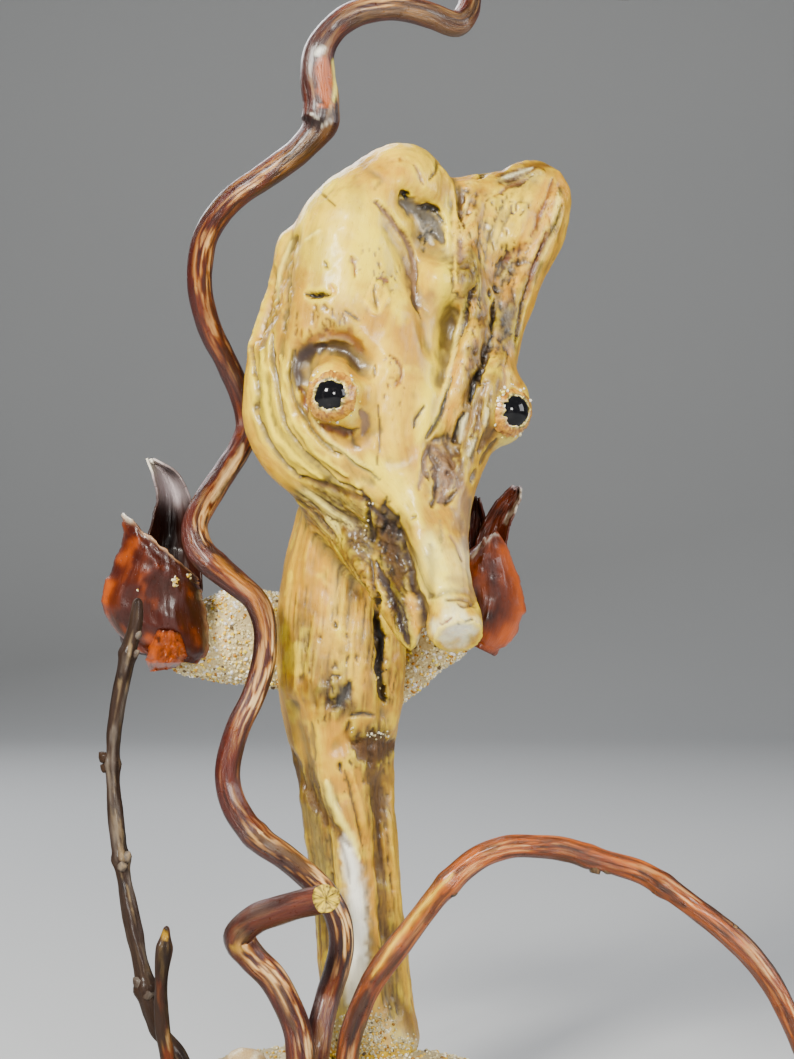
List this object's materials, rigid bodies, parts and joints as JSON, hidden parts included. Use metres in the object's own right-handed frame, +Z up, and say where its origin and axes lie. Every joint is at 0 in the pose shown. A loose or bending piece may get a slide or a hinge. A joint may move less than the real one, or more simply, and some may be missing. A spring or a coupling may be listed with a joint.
{
  "type": "driftwood horse head sculpture",
  "caption": "Driftwood horse head with glass eyes on a sand-crusted base, among curly willow stems, a thin twig and dried seed pods.",
  "frame": {"origin": "middle of the sand base's flat underside", "axes": "+Z up; the horse looks towards -Y; +X is to the right of someone who faces it"},
  "size_m": [0.1722, 0.1008, 0.3136],
  "materials": {
    "driftwood": "varnished, cream to ochre with brown stains and grain cracks",
    "willow_bark": "varnished red-brown bark, streaked along the stem",
    "twig_bark": "dull grey-brown bark",
    "pod_husk": "varnished copper-brown husk",
    "sand_grit": "coarse glued sand",
    "pebble_stone": "worn smooth",
    "black_glass": "gloss"
  },
  "bodies": {
    "root": {"driftwood_horse": "driftwood", "eye_left": "black_glass", "eye_right": "black_glass", "willow_stem": "willow_bark", "willow_cut_stem": "willow_bark", "willow_arch": "willow_bark", "budded_twig": "twig_bark", "twig_stub": "twig_bark", "seed_pod_left": "pod_husk", "seed_pod_right": "pod_husk", "grit_ledge": "sand_grit", "sand_base": "sand_grit", "pebble": "pebble_stone"}
  },
  "joints": []
}
